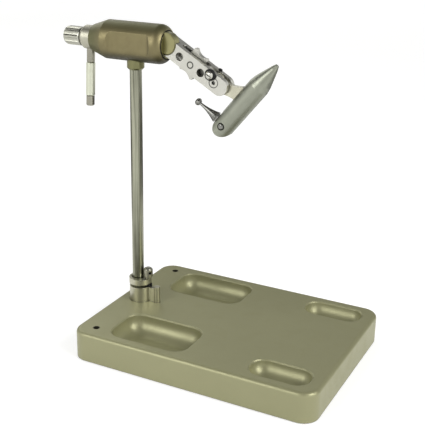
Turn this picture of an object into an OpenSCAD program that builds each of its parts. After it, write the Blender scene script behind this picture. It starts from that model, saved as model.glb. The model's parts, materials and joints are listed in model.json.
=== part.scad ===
// Rotary fly tying vise on a pedestal base.
// Origin: centre of the base outline, on the surface that the vise stands on.
// X runs along the rotary axis towards the jaws, Z is up.

/* [Base] */
// Length of the base plate along X
base_l = 203.2; // [180:0.2:240]
// Width of the base plate along Y
base_w = 152.4; // [144:0.2:200]
// Height of the base plate without its pad
base_h = 23.7; // [21:0.1:34]
// Radius of the four upright corners of the base
base_corner_r = 12.7; // [8:0.1:20]
// Radius of the rounded top edge of the base
base_edge_r = 3.2; // [1:0.1:5]
// Thickness of the non-slip pad
pad_t = 1.6; // [1.2:0.1:3]
// How far the pad stands out below the base
pad_proud = 0.6; // [0.3:0.1:1]
// Width of the base left bare around the pad
pad_margin = 9; // [6:0.5:20]

/* [Trays] */
// Length of a large tray
large_tray_l = 66.7; // [40:0.1:80]
// Width of a large tray
large_tray_w = 42; // [30:0.5:48]
// Depth of a large tray
large_tray_depth = 15; // [13:0.5:17]
// Radius of the corners and floor edge of a large tray
large_tray_r = 12; // [4:0.5:12.5]
// Gap between the left side of the base and a large tray
large_tray_inset = 27.4; // [22:0.1:34]
// Length of a small tray
small_tray_l = 47; // [28:0.5:52]
// Width of a small tray
small_tray_w = 23.6; // [22.5:0.1:30]
// Depth of a small tray
small_tray_depth = 11.2; // [11:0.1:15]
// Radius of the corners and floor edge of a small tray
small_tray_r = 10.8; // [4:0.1:10.9]
// Gap between the right side of the base and a small tray
small_tray_inset = 10.4; // [8:0.1:16]
// Gap between the long sides of the base and all trays
tray_side_gap = 8.8; // [7:0.1:12]
// Width of the bevel round a tray rim
rim_bevel = 0.9; // [0.3:0.1:1.2]
// Diameter of the two tool sockets
tool_hole_d = 4.8; // [3:0.1:8]
// Depth of the two tool sockets
tool_hole_depth = 12; // [6:0.5:16]
// Distance of the tool sockets from the long centre line
tool_hole_y = 63; // [50:0.5:66]

/* [Post and clamp] */
// Diameter of the post
post_d = 9.525; // [8:0.025:11]
// Distance of the post axis from the left side of the base
post_inset = 15.75; // [15:0.05:18]
// Height of the rotary axis above the base plate
axis_rise = 214.9; // [150:0.1:300]
// Play of the post in its bores, on the radius
post_play = 0.05; // [0.02:0.01:0.09]
// Diameter of the lower clamp socket
socket_d = 18; // [17:0.1:20]
// Height of the lower clamp socket
socket_h = 12.7; // [11:0.1:18]
// Diameter of the upper clamp ring
ring_d = 18.8; // [17.6:0.1:21]
// Height of the upper clamp ring
ring_h = 4.8; // [4:0.1:8]
// Height of the slit between socket and ring
ring_gap = 2.5; // [1:0.1:4]
// Offset of the clamp body from the post axis
clamp_shift = 2.1; // [1.8:0.1:2.6]
// Distance of the foot bolt from the post axis
bolt_reach = 18; // [16:0.1:20]
// Diameter of the round lug over the foot bolt
lug_d = 5; // [4.8:0.1:6]
// Diameter of the clamp screw shank
clamp_screw_d = 4; // [3:0.1:4.2]
// Distance of the clamp screw from the post axis
clamp_screw_x = 9.6; // [9.2:0.1:9.8]
// Diameter of the clamp screw head
clamp_head_d = 7.7; // [6:0.1:8]
// Height of the clamp screw head
clamp_head_h = 7.9; // [6:0.1:12]
// Turn of the clamp screw, seen by its cross hole
clamp_turn = -35; // [-90:1:90]

/* [Head] */
// Diameter of the housing
housing_d = 30; // [29:0.1:36]
// Length of the housing in front of the post axis
housing_front = 28.3; // [26:0.1:34]
// Length of the housing behind the post axis
housing_rear = 36.4; // [32:0.1:44]
// Length of the cone at the rear of the housing
cone_l = 12.7; // [8:0.1:14]
// Diameter of the housing at its rear end
cone_d = 21; // [19.5:0.1:24]
// Radius of the rounded front shoulder
shoulder_r = 8; // [7:0.1:9]
// Length of the rounded front shoulder
shoulder_l = 6.5; // [4:0.1:6.9]
// Length of the flat panel milled on each side of the housing
panel_l = 30; // [20:0.1:32]
// Depth of the flat panel
panel_depth = 2.3; // [1:0.1:2.5]
// Radius of the run-out at both ends of the flat panel
panel_end_r = 5; // [3:0.1:6]
// Place of the middle of the flat panel along the housing
panel_x = 1.2; // [0:0.1:3]
// Diameter of the collar that holds the post
collar_d = 13.5; // [12.5:0.1:18]
// Length of the collar that shows below the housing
collar_drop = 6.1; // [4:0.1:12]
// Bevel at the lower end of the collar
collar_bevel = 1.4; // [0.5:0.1:1.6]
// Diameter of the rotary shaft
shaft_d = 9.5; // [8:0.1:11]
// Outer diameter of the shaft bushes
bush_d = 13; // [12.5:0.1:14]
// Length of each shaft bush
bush_l = 13; // [8:0.1:16]
// Play of the shaft in its bushes, on the radius
shaft_play = 0.04; // [0.02:0.01:0.09]
// Outer diameter of the black seal ring at the front
seal_d = 22.2; // [21.6:0.1:23]
// Width of the seal ring along the axis
seal_l = 1.8; // [1:0.1:3]

/* [Crank and drag knob] */
// Diameter of the crank collar
crank_collar_d = 18.4; // [16:0.1:22]
// Length of the round part of the crank collar
crank_collar_l = 7.6; // [7.4:0.1:10]
// Length of the bevel at the rear of the crank collar
crank_collar_bevel_l = 2.4; // [1:0.1:4]
// Turn of the hanging crank rod round the rotary axis
crank_turn = -4; // [-180:1:180]
// Diameter of the drag knob
knob_d = 14.8; // [13.5:0.1:16]
// Length of the drag knob
knob_l = 15.8; // [12:0.1:24]
// Number of flutes round the drag knob
knob_flutes = 10; // [6:1:16]
// Depth of a flute
flute_depth = 0.9; // [0.4:0.1:1.2]
// Diameter of the crank rod
crank_rod_d = 6.6; // [5.5:0.1:7]
// Length of the bare crank rod below the collar
crank_neck_l = 10; // [6:0.1:20]
// Outer diameter of the turning sleeve
sleeve_d = 7.3; // [7.2:0.1:10]
// Length of the turning sleeve
sleeve_l = 26.8; // [18:0.1:50]
// Length of the end piece that keeps the sleeve on
crank_tip_l = 7.8; // [4:0.1:12]
// Play of the sleeve on its spindle, on the radius
sleeve_play = 0.08; // [0.03:0.01:0.1]

/* [Arm] */
// Angle of the arm below the rotary axis
arm_angle = 30; // [25:1:36]
// Distance of the arm knuckle in front of the post axis
knuckle_x = 30.4; // [30.2:0.1:36]
// Height of the knuckle above the rotary axis
knuckle_lift = 1.9; // [0:0.1:2.4]
// Diameter of the knuckle
knuckle_d = 16.2; // [15:0.1:17]
// Gap left round the knuckle
knuckle_gap = 0.5; // [0.3:0.1:1]
// Height of the arm bar
arm_h = 13; // [12:0.1:16]
// Width of the arm bar
arm_w = 13; // [12:0.1:16]
// Distance of the rounded tine ends from the knuckle
tine_reach = 51.4; // [50:0.1:60]
// Width of the slot between the tines
slot_w = 5; // [4.6:0.1:6]
// Distance of the closed slot end from the knuckle
slot_start = 11.6; // [11:0.1:12.5]
// Diameter of the two cross holes
cross_hole_d = 6.3; // [4:0.1:7]
// Distance of the first cross hole from the knuckle
cross_hole_a = 13.3; // [13:0.1:15]
// Distance of the second cross hole from the knuckle
cross_hole_b = 33.6; // [31:0.1:35]
// Distance of the thumb wheel pin from the knuckle
wheel_s = 23.8; // [23:0.1:25]
// Diameter of the thumb wheel pin
wheel_pin_d = 4.7; // [3:0.1:5]
// Diameter of the thumb wheel
wheel_d = 24; // [20:0.1:26]
// Thickness of the thumb wheel
wheel_t = 4.2; // [3:0.1:4.5]
// Radius of the finger notches round the thumb wheel
notch_r = 8; // [6:0.1:10]
// Depth of a finger notch below the corners beside it
notch_depth = 1.9; // [0.5:0.1:2.2]
// Distance of the clip post from the knuckle
clip_s = 41.3; // [40:0.1:42]
// Height of the clip post above the middle line of the arm
clip_n = 4; // [3.5:0.1:4.2]
// Diameter of the clip post head
clip_head_d = 6.1; // [5:0.1:6.5]
// Thickness of the black ring under the clip post head
clip_ring_t = 2.2; // [1.5:0.1:3]
// Distance of the jaw pivot from the knuckle
pivot_s = 46.2; // [45.9:0.1:47]
// Diameter of the pivot screw shank
pivot_d = 4.4; // [3:0.1:5]
// Diameter of the pivot screw head
pivot_head_d = 6.9; // [6:0.1:7.2]

/* [Jaws] */
// Lean of the jaws from upright
jaw_lean = 39.5; // [35:0.5:44]
// Length of the jaws from tip to rear end
jaw_l = 70.6; // [69.5:0.1:76]
// Diameter of the jaws
jaw_d = 15.9; // [14.5:0.1:17]
// Distance from the jaw axis to the pivot
jaw_offset = 26; // [25:0.1:30]
// Distance from the jaw tip back to the pivot, along the jaws
jaw_back = 42.8; // [42:0.1:44]
// Length of the tapered nose
nose_l = 21.5; // [16:0.1:24]
// Diameter of the blunt tip
nose_tip_d = 2.8; // [1:0.1:4]
// Gap between the closed jaw halves at the nose
jaw_gap = 0.1; // [0.06:0.01:0.2]
// Gap between the jaw halves behind the fulcrum
jaw_relief = 1.4; // [1.3:0.1:2]
// Distance of the fulcrum behind the tip
fulcrum_z = 31; // [30:0.1:33]
// Distance of the lever pin from the rear end of the jaws
lever_pin_inset = 8.2; // [7.5:0.1:9]
// Diameter of the lever pin
lever_pin_d = 4.8; // [3:0.1:5.4]

/* [Cam lever] */
// Angle between lever and jaws, from the jaw tip round to the lever
lever_angle = 97; // [90:0.5:110]
// Distance of the lever end from its pin
lever_reach = 27; // [20:0.1:34]
// Diameter of the button at the lever end
lever_button_d = 5.8; // [4:0.1:8]
// Thickness of the button at the lever end
lever_button_t = 3.6; // [2.5:0.1:5]
// Diameter of the lever stalk behind the button
stalk_d = 2; // [1.5:0.1:3]
// Diameter of the flared foot of the lever
flare_d = 8.8; // [6:0.1:9.5]
// Width of the lever hub between the jaws
lever_hub_w = 5.6; // [4:0.1:5.8]

/* [Hidden] */
$fn = 64;

// Overrun of a cut past the face that it opens
over = 1;
// Clear gap between neighbours that move past each other
clear = 0.4;

// Heights and places on the base
base_top = pad_proud + base_h;
axis_z = base_top + axis_rise;
post_x = post_inset - base_l / 2;
large_tray_x = large_tray_inset + large_tray_l / 2 - base_l / 2;
large_tray_y = base_w / 2 - tray_side_gap - large_tray_w / 2;
small_tray_x = base_l / 2 - small_tray_inset - small_tray_l / 2;
small_tray_y = base_w / 2 - tray_side_gap - small_tray_w / 2;

// Post and clamp
post_r = post_d / 2;
post_bore_r = post_r + post_play;
post_bevel = 0.6;
post_foot_gap = 1.2;
bore_floor = 3.6;
spigot_d = 12.4;
spigot_l = 4;
socket_bolt_d = 3;
socket_bolt_head_d = 5.6;
socket_bolt_head_h = 3;
lug_web_w = 3.6;
socket_bolt_bite = 8;
ring_cup_d = 11.8;
ring_cup_h = 1.4;
clamp_play = 0.08;
clamp_seat = 0.3;
clamp_dome_h = 1.6;
clamp_dome_d = 4.2;
clamp_neck_d = 5.6;
clamp_neck_h = 1.3;
clamp_spring_d = 6.6;
clamp_groove_d = 0.35;
tommy_d = 2.6;
tommy_drop = 4;
clamp_screw_bite = 9;

// Head
housing_r = housing_d / 2;
collar_insert = 4;
post_into_head = 1.2;
collar_foot = housing_r + collar_drop;
collar_top = housing_r - collar_insert;
grub_d = 3;
grub_l = 4;
grub_socket_d = 1.5;
grub_socket_depth = 0.9;
collar_screw_sink = 0.2;
collar_screw_gap = 0.3;
bush_gap = 0.3;
hub_collar_d = 20.2;
hub_collar_l = 8.4;
hub_play = 0.35;
housing_relief_d = 11.5;
bush_screw_back = 4.9;
bush_screw_tilt = 20;

// Crank and knob
crank_gap = 0.4;
crank_front = housing_rear + crank_gap;
crank_x = crank_front + crank_collar_l / 2;
crank_rear = crank_front + crank_collar_l + crank_collar_bevel_l;
washer_t = 0.5;
washer_d = 13;
knob_seat = 0.3;
knob_front = crank_rear + washer_t + knob_seat;
knob_rear = knob_front + knob_l;
stud_d = 6;
stud_short = 2.5;
knob_round = 3.2;
knob_lip = 1.3;
knob_play = 0.05;
spindle_d = 4;
crank_bite = 3.6;
sleeve_end_gap = 0.3;
sleeve_bevel = 0.5;
tip_bevel = 0.8;
crank_foot = crank_collar_d / 2 + crank_neck_l;
sleeve_foot = crank_foot + sleeve_l;

// Arm
knuckle_r = knuckle_d / 2;
knuckle_bevel = 0.6;
hub_face = housing_front + clear;
arm_bolt_d = 4;
arm_bolt_head_d = 7;
arm_bolt_head_h = 2.6;
arm_bolt_bite = 4.5;
arm_bolt_ahead = 2.7;
arm_bolt_x = knuckle_x + arm_bolt_ahead;
arm_bolt_z = 0.6;
tine_r = arm_h / 2;
wheel_play = 0.06;
wheel_lobes = 6;
wheel_turn = 48.8;
clip_shank_d = 3;
clip_head_h = 2;
clip_slot_w = 0.9;
clip_head_shares = [[0, 0], [0.5, 0], [0.5, 0.34], [0.34, 0.8], [0, 1]];
clip_slot_h = 0.9;
clip_ring_d = 8.8;
clip_ring_bulge = 1.2;
pivot_head_sink = 2.2;
pivot_head_drop = 0.1;
pivot_head_h = pivot_head_sink - pivot_head_drop;
pivot_hex_d = 3.2;
pivot_hex_depth = 1.5;
pivot_nut_d = 7.4;
pivot_nut_t = 1.8;
pivot_play = 0.05;
lock_screw_d = 3;
lock_screw_l = 2.2;
lock_screw_proud = 1.1;
lock_screw_s = 42.5;
tongue_play = 0.15;
tongue_r = 6.2;

// Jaws and lever
jaw_r = jaw_d / 2;
far_play = 1.2;
nose_shares = [[0, 0], [0.14, 0.2], [0.44, 0.52], [0.77, 0.86], [1, 1]];
jaw_rear_over = 0.15;
lever_pin_x = 0.3;
lever_pin_shy = 0.4;
lever_pin_dome_h = 1;
dome_shares = [[1, 0], [0.93, 0.4], [0.72, 0.76], [0.4, 0.95], [0, 1]];
lever_pin_z = jaw_l - lever_pin_inset;
slot_slack_share = 0.6;
lever_slot_w = lever_hub_w + slot_slack_share * jaw_relief;
lever_slot_reach = 7.3;
lever_slot_floor = 6.2;
fulcrum_screw_d = 3.2;
fulcrum_head_d = 5.6;
fulcrum_head_h = 1.8;
fulcrum_bite = 5;
fulcrum_play = 0.5;
spring_share = 0.6;
spring_z = fulcrum_z + spring_share * (lever_pin_z - lever_slot_reach - fulcrum_z);
spring_d = 4;
spring_hole_d = 2.4;
spring_seat = 3.6;
spring_stand = 0.5;
neck_split_gap = 0.9;
neck_root_h = 2.6;
neck_root_shares = [0.975, 0.72];
neck_shares = [[0.99, 0.2], [0.995, 0.34], [1.017, 0.45], [1.04, 0.53], [1.06, 0.62], [1.1, 0.74], [1.13, 0.9],
    [0.95, 1.14], [0.87, 0.98], [0.855, 0.76], [0.84, 0.63], [0.814, 0.54], [0.76, 0.425], [0.705, 0.32], [0.69, 0.2]];
flare_u = 8.7;
stalk_w = 4.6;
lever_pin_play = 0.05;
lever_hub_r = 5.4;
flare_steps = 10;
flare_power = 2.1;
button_shares = [[0, -0.5], [0.7, -0.5], [1, -0.17], [1, 0.17], [0.7, 0.5], [0, 0.6]];

// Straight rods and blocks between two stated ends
module rod_x(r, x0, x1) {
    translate([x0, 0, 0]) rotate([0, 90, 0]) cylinder(r = r, h = x1 - x0);
}

module rod_y(r, y0, y1) {
    translate([0, y0, 0]) rotate([-90, 0, 0]) cylinder(r = r, h = y1 - y0);
}

module rod_z(r, z0, z1) {
    translate([0, 0, z0]) cylinder(r = r, h = z1 - z0);
}

module block(x0, x1, y0, y1, z0, z1) {
    translate([x0, y0, z0]) cube([x1 - x0, y1 - y0, z1 - z0]);
}

// Shape turned about X: each point is a place along X and a radius
module turned_x(points) {
    rotate([0, 90, 0]) rotate_extrude() polygon([for (p = points) [p[1], p[0]]]);
}

// Outline in X and Z, drawn out along Y
module plate_y(points, y0, y1) {
    translate([0, y1, 0]) rotate([90, 0, 0]) linear_extrude(y1 - y0) polygon(points);
}

// Rectangle with round corners
module rounded_outline(l, w, r) {
    square([l - 2 * r, w], center = true);
    square([l, w - 2 * r], center = true);
    for (sx = [-1, 1], sy = [-1, 1])
        translate([sx * (l / 2 - r), sy * (w / 2 - r)]) circle(r);
}

// Flat section from the axis out to x, with its far top corner rounded
module edge_outline(x, h, e) {
    difference() {
        square([x, h]);
        difference() {
            translate([x - e, h - e]) square(e + over);
            translate([x - e, h - e]) circle(e);
        }
    }
}

// The same section with a bevelled mouth, for a hollow that opens at z = over
module mouth_outline(x, h, e) {
    edge_outline(x, h, e);
    polygon([[0, 0], [x + rim_bevel + over, 0], [x, over + rim_bevel], [0, over + rim_bevel]]);
}

// Side section of a block with round upright corners, by its kind
module section(kind, x, h, e) {
    if (kind == "slab") edge_outline(x, h, e);
    if (kind == "tray") mouth_outline(x, h, e);
}

module round_block(kind, l, w, h, r, e) {
    for (s = [0, 180]) rotate([0, 0, s]) {
        translate([r - l / 2, 0, 0]) rotate([90, 0, 90]) linear_extrude(l - 2 * r) section(kind, w / 2, h, e);
        translate([l / 2 - r, w / 2 - r, 0]) rotate([90, 0, 0]) linear_extrude(w - 2 * r) section(kind, r, h, e);
        translate([l / 2 - r, w / 2 - r, 0]) rotate_extrude(angle = 90) section(kind, r, h, e);
        translate([r - l / 2, w / 2 - r, 0]) rotate([0, 0, 90]) rotate_extrude(angle = 90) section(kind, r, h, e);
    }
}

// Tray hollow, open upwards from z = 0
module tray_hollow(l, w, depth, r) {
    translate([0, 0, over]) rotate([180, 0, 0]) round_block("tray", l, w, depth + over, r, r);
}

// Grub screw along Z with its hexagon socket in the top face
module grub(d, l) {
    difference() {
        rod_z(d / 2, -l, 0);
        translate([0, 0, -grub_socket_depth]) cylinder(d = grub_socket_d, h = grub_socket_depth + over, $fn = 6);
    }
}

// Frame of the base plate
module at_base() {
    translate([0, 0, pad_proud]) children();
}

// Frame of the post: its axis is Z and its origin lies on the base plate
module at_post() {
    translate([post_x, 0, base_top]) children();
}

// Frame of the head: X is the rotary axis and the origin lies over the post
module at_head() {
    translate([post_x, 0, axis_z]) children();
}

// Frame of the crank: Z runs up its rod and the origin lies on the rotary axis
module at_crank() {
    at_head() rotate([crank_turn, 0, 0]) translate([-crank_x, 0, 0]) children();
}

// Frame of the arm: X runs along the arm from its root below the knuckle
module at_arm() {
    at_head() translate([knuckle_x, 0, 0]) rotate([0, arm_angle, 0]) children();
}

// Frame of the jaws: Z runs along them to the tip, where the origin lies
module at_jaws() {
    at_arm() translate([pivot_s, 0, 0]) rotate([0, jaw_lean - arm_angle, 0])
        translate([jaw_offset, 0, jaw_back]) children();
}

// Frame of the cam lever: Z runs along it from its pin
module at_lever() {
    at_jaws() translate([-lever_pin_x, 0, -lever_pin_z]) rotate([0, -lever_angle, 0]) children();
}

module base_plate() {
    color([0.55, 0.54, 0.42]) difference() {
        at_base() round_block("slab", base_l, base_w, base_h, base_corner_r, base_edge_r);
        for (s = [-1, 1]) {
            translate([large_tray_x, s * large_tray_y, base_top])
                tray_hollow(large_tray_l, large_tray_w, large_tray_depth, large_tray_r);
            translate([small_tray_x, s * small_tray_y, base_top])
                tray_hollow(small_tray_l, small_tray_w, small_tray_depth, small_tray_r);
            translate([post_x, s * tool_hole_y, 0])
                rod_z(tool_hole_d / 2, base_top - tool_hole_depth, base_top + over);
        }
        at_post() {
            rod_z(spigot_d / 2, -spigot_l, over);
            rod_z(post_bore_r, bore_floor - base_h, over);
            translate([bolt_reach, 0, 0]) {
                rod_z(socket_bolt_d / 2, -base_h - over, over);
                rod_z(socket_bolt_head_d / 2, -base_h - over, pad_t - pad_proud + socket_bolt_head_h - base_h);
            }
        }
        linear_extrude(pad_t)
            rounded_outline(base_l - 2 * pad_margin, base_w - 2 * pad_margin, base_corner_r - base_edge_r);
    }
}

module foot_pad() {
    color([0.1, 0.1, 0.1]) linear_extrude(pad_t)
        rounded_outline(base_l - 2 * pad_margin, base_w - 2 * pad_margin, base_corner_r - base_edge_r);
}

module stem_socket() {
    color([0.62, 0.61, 0.56]) at_post() difference() {
        union() {
            rod_z(spigot_d / 2, -spigot_l, over);
            translate([clamp_shift, 0, 0]) rod_z(socket_d / 2, 0, socket_h);
            block(clamp_shift, bolt_reach, -lug_web_w / 2, lug_web_w / 2, 0, socket_h - clear);
            translate([bolt_reach, 0, 0]) rod_z(lug_d / 2, 0, socket_h + ring_gap / 2);
        }
        rod_z(post_bore_r, -spigot_l - over, socket_h + over);
        translate([clamp_screw_x, 0, 0])
            rod_z(clamp_screw_d / 2 + clamp_play, socket_h - clamp_screw_bite, socket_h + over);
        translate([bolt_reach, 0, 0]) rod_z(socket_bolt_d / 2, -over, socket_bolt_bite);
    }
}

module socket_bolt() {
    head_z = pad_t - pad_proud - base_h;
    color([0.35, 0.35, 0.35]) at_post() translate([bolt_reach, 0, 0]) difference() {
        union() {
            rod_z(socket_bolt_d / 2, head_z, socket_bolt_bite);
            rod_z(socket_bolt_head_d / 2, head_z, head_z + socket_bolt_head_h);
        }
        translate([0, 0, head_z - over])
            cylinder(d = pivot_hex_d, h = pivot_hex_depth + over, $fn = 6);
    }
}

module clamp_ring() {
    color([0.66, 0.65, 0.6]) at_post() translate([0, 0, socket_h + ring_gap]) difference() {
        translate([clamp_shift, 0, 0]) rod_z(ring_d / 2, 0, ring_h);
        rod_z(post_bore_r, -over, ring_h + over);
        translate([0, 0, ring_h - ring_cup_h])
            cylinder(d1 = 2 * post_bore_r, d2 = ring_cup_d, h = ring_cup_h);
        translate([clamp_screw_x, 0, 0]) rod_z(clamp_screw_d / 2 + clamp_play, -over, ring_h + over);
    }
}

module clamp_spring() {
    color([0.3, 0.3, 0.3]) at_post() translate([clamp_screw_x, 0, socket_h]) difference() {
        rod_z(clamp_spring_d / 2, 0, ring_gap);
        rod_z(clamp_screw_d / 2 + clear, -over, ring_gap + over);
    }
}

module clamp_screw() {
    head_r = clamp_head_d / 2;
    foot = socket_h + ring_gap + ring_h + clamp_seat;
    color([0.55, 0.56, 0.52]) at_post() translate([clamp_screw_x, 0, 0]) difference() {
        union() {
            rod_z(clamp_screw_d / 2, socket_h - clamp_screw_bite + clear, foot + over);
            rod_z(clamp_neck_d / 2, foot, foot + clamp_neck_h + over);
            translate([0, 0, foot + clamp_neck_h]) rotate_extrude() polygon([
                [0, 0],
                [head_r - clamp_groove_d, 0],
                [head_r, clamp_groove_d],
                [head_r, clamp_head_h - clamp_dome_h],
                [(head_r + clamp_dome_d / 2) / 2, clamp_head_h - clamp_dome_h / 3],
                [clamp_dome_d / 2, clamp_head_h],
                [0, clamp_head_h]]);
        }
        translate([0, 0, foot + clamp_neck_h + clamp_head_h - tommy_drop]) rotate([0, 0, clamp_turn])
            rod_x(tommy_d / 2, -head_r - over, head_r + over);
    }
}

module post() {
    foot = bore_floor + post_foot_gap - base_h;
    top = axis_rise - collar_top + post_into_head;
    color([0.68, 0.68, 0.64]) at_post() rotate_extrude() polygon([
        [0, foot],
        [post_r - post_bevel, foot],
        [post_r, foot + post_bevel],
        [post_r, top - post_bevel],
        [post_r - post_bevel, top],
        [0, top]]);
}

// Outer form of the housing, from the rear end to the rounded shoulder
function shoulder_drop(x) = shoulder_r - sqrt(shoulder_r * shoulder_r - x * x);

module housing_form() {
    shoulder_steps = 8;
    turned_x(concat(
        [[-housing_rear, 0], [-housing_rear, cone_d / 2], [cone_l - housing_rear, housing_r]],
        [for (i = [0:shoulder_steps]) let (x = shoulder_l * i / shoulder_steps)
            [housing_front - shoulder_l + x, housing_r - shoulder_drop(x)]],
        [[housing_front, 0]]));
}

module head_housing() {
    color([0.47, 0.42, 0.27]) at_head() difference() {
        housing_form();
        rod_x(housing_relief_d / 2, -housing_rear - over, housing_front + over);
        rod_x(bush_d / 2, -housing_rear - over, bush_l - housing_rear);
        rod_x(bush_d / 2, housing_front - hub_collar_l - bush_l, housing_front + over);
        rod_x(hub_collar_d / 2 + hub_play, housing_front - hub_collar_l, housing_front + over);
        rod_x(seal_d / 2, housing_front - seal_l, housing_front + over);
        rod_z(collar_d / 2, -housing_r - over, -collar_top);
        rod_z(post_bore_r, -collar_top - over, -collar_top + post_into_head + clear);
        translate([bush_screw_back - housing_rear, 0, 0]) rotate([bush_screw_tilt - 90, 0, 0])
            rod_z(grub_d / 2, bush_d / 2, housing_r + over);
        for (side = [0, 180]) rotate([side, 0, 0]) {
            block(panel_x - panel_l / 2, panel_x + panel_l / 2, -housing_r - over,
                panel_depth - housing_r, -housing_r, housing_r);
            for (end = [-1, 1])
                translate([panel_x + end * panel_l / 2, panel_depth - panel_end_r - housing_r, 0])
                    rod_z(panel_end_r, -housing_r, housing_r);
        }
    }
}

module post_collar() {
    r = collar_d / 2;
    color([0.43, 0.42, 0.28]) at_head() difference() {
        rotate_extrude() polygon([
            [post_bore_r, -collar_foot],
            [r - collar_bevel, -collar_foot],
            [r, collar_bevel - collar_foot],
            [r, -collar_top],
            [post_bore_r, -collar_top]]);
        translate([0, 0, -housing_r - collar_drop / 2]) rod_y(grub_d / 2, 0, r + over);
    }
}

module collar_screw() {
    color([0.15, 0.15, 0.15]) at_head() translate([0, collar_d / 2 - collar_screw_sink, -housing_r - collar_drop / 2])
        rotate([-90, 0, 0]) grub(grub_d, collar_d / 2 - collar_screw_sink - post_r - collar_screw_gap);
}

module bush(x0) {
    at_head() difference() {
        rod_x(bush_d / 2, x0, x0 + bush_l);
        rod_x(shaft_d / 2 + shaft_play, x0 - over, x0 + bush_l + over);
    }
}

module front_bush() {
    color([0.72, 0.55, 0.3]) bush(housing_front - hub_collar_l - bush_l);
}

module rear_bush() {
    color([0.72, 0.55, 0.3]) bush(-housing_rear);
}

module front_seal() {
    color([0.05, 0.05, 0.05]) at_head() difference() {
        rod_x(seal_d / 2, housing_front - seal_l, housing_front);
        rod_x(hub_collar_d / 2 + hub_play, housing_front - seal_l - over, housing_front + over);
    }
}

module bush_screw() {
    color([0.15, 0.15, 0.15]) at_head() translate([bush_screw_back - housing_rear, 0, 0])
        rotate([bush_screw_tilt - 90, 0, 0]) translate([0, 0, cone_d / 2 + grub_l / 8])
            grub(grub_d, cone_d / 2 + grub_l / 8 - bush_d / 2);
}

module rotary_shaft() {
    color([0.7, 0.7, 0.68]) at_head() {
        rod_x(shaft_d / 2, -crank_rear, housing_front - clear);
        rod_x(stud_d / 2, stud_short - knob_rear, over - crank_rear);
    }
}

module front_hub() {
    back = housing_front - hub_collar_l + bush_gap;
    color([0.66, 0.63, 0.45]) at_head() difference() {
        union() {
            rod_x(hub_collar_d / 2, back, hub_face);
            intersection() {
                translate([knuckle_x, 0, knuckle_lift]) {
                    rod_y(knuckle_r, knuckle_bevel - arm_w / 2, 0);
                    rod_y(knuckle_r - knuckle_bevel, -arm_w / 2, 0);
                }
                block(hub_face, knuckle_x + knuckle_d, -arm_w, arm_w, -knuckle_d, knuckle_d);
            }
        }
        rod_x(shaft_d / 2, back - over, housing_front - clear);
        translate([arm_bolt_x, 0, arm_bolt_z]) rod_y(arm_bolt_d / 2, -arm_bolt_bite, arm_w);
    }
}

module crank_collar() {
    r = crank_collar_d / 2;
    color([0.8, 0.8, 0.76]) difference() {
        at_head() turned_x([
            [-crank_rear, shaft_d / 2],
            [-crank_rear, knob_d / 2],
            [-crank_front - crank_collar_l, r],
            [-crank_front, r],
            [-crank_front, shaft_d / 2]]);
        at_crank() {
            rod_z(crank_rod_d / 2, -r - over, crank_bite - r);
            rod_z(grub_d / 2, 0, r + over);
        }
    }
}

module crank_set_screw() {
    color([0.15, 0.15, 0.15]) at_crank() translate([0, 0, crank_collar_d / 2 - grub_l / 8])
        grub(grub_d, crank_collar_d / 2 - grub_l / 8 - shaft_d / 2);
}

module drag_washer() {
    color([0.75, 0.6, 0.35]) at_head() difference() {
        rod_x(washer_d / 2, -crank_rear - washer_t, -crank_rear);
        rod_x(stud_d / 2, -knob_front - over, over - crank_rear);
    }
}

module drag_knob() {
    r = knob_d / 2;
    flute_r = knob_d * sin(180 / knob_flutes) / 2;
    color([0.72, 0.72, 0.69]) at_head() difference() {
        turned_x(concat(
            [[-knob_rear, 0]],
            [for (i = [0:6]) let (a = 90 * i / 6)
                [knob_round * (1 - cos(a)) - knob_rear, r - knob_round * (1 - sin(a))]],
            [[-knob_front, r], [-knob_front, 0]]));
        rod_x(stud_d / 2 + knob_play, stud_short - clear - knob_rear, over - knob_front);
        for (i = [0:knob_flutes - 1]) rotate([i * 360 / knob_flutes, 0, 0])
            translate([0, 0, r + flute_r - flute_depth]) rod_x(flute_r, -knob_rear - over, -knob_front - knob_lip);
    }
}

module crank_rod() {
    top = crank_collar_d / 2 - crank_bite;
    color([0.74, 0.74, 0.71]) at_crank() {
        rod_z(crank_rod_d / 2, -crank_foot, -top);
        rod_z(spindle_d / 2, -sleeve_foot - crank_tip_l / 2, -crank_foot);
    }
}

module crank_sleeve() {
    r = sleeve_d / 2;
    bore_r = spindle_d / 2 + sleeve_play;
    color([0.87, 0.88, 0.8]) at_crank() rotate_extrude() polygon([
        [bore_r, sleeve_end_gap - sleeve_foot],
        [r - sleeve_bevel, sleeve_end_gap - sleeve_foot],
        [r, sleeve_end_gap + sleeve_bevel - sleeve_foot],
        [r, -crank_foot - sleeve_end_gap - sleeve_bevel],
        [r - sleeve_bevel, -crank_foot - sleeve_end_gap],
        [bore_r, -crank_foot - sleeve_end_gap]]);
}

module crank_tip() {
    r = crank_rod_d / 2;
    color([0.7, 0.7, 0.68]) at_crank() translate([0, 0, -sleeve_foot]) difference() {
        rotate_extrude() polygon([
            [0, -crank_tip_l],
            [r - tip_bevel, -crank_tip_l],
            [r, tip_bevel - crank_tip_l],
            [r, 0],
            [0, 0]]);
        rod_z(spindle_d / 2, -crank_tip_l / 2, over);
    }
}

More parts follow.
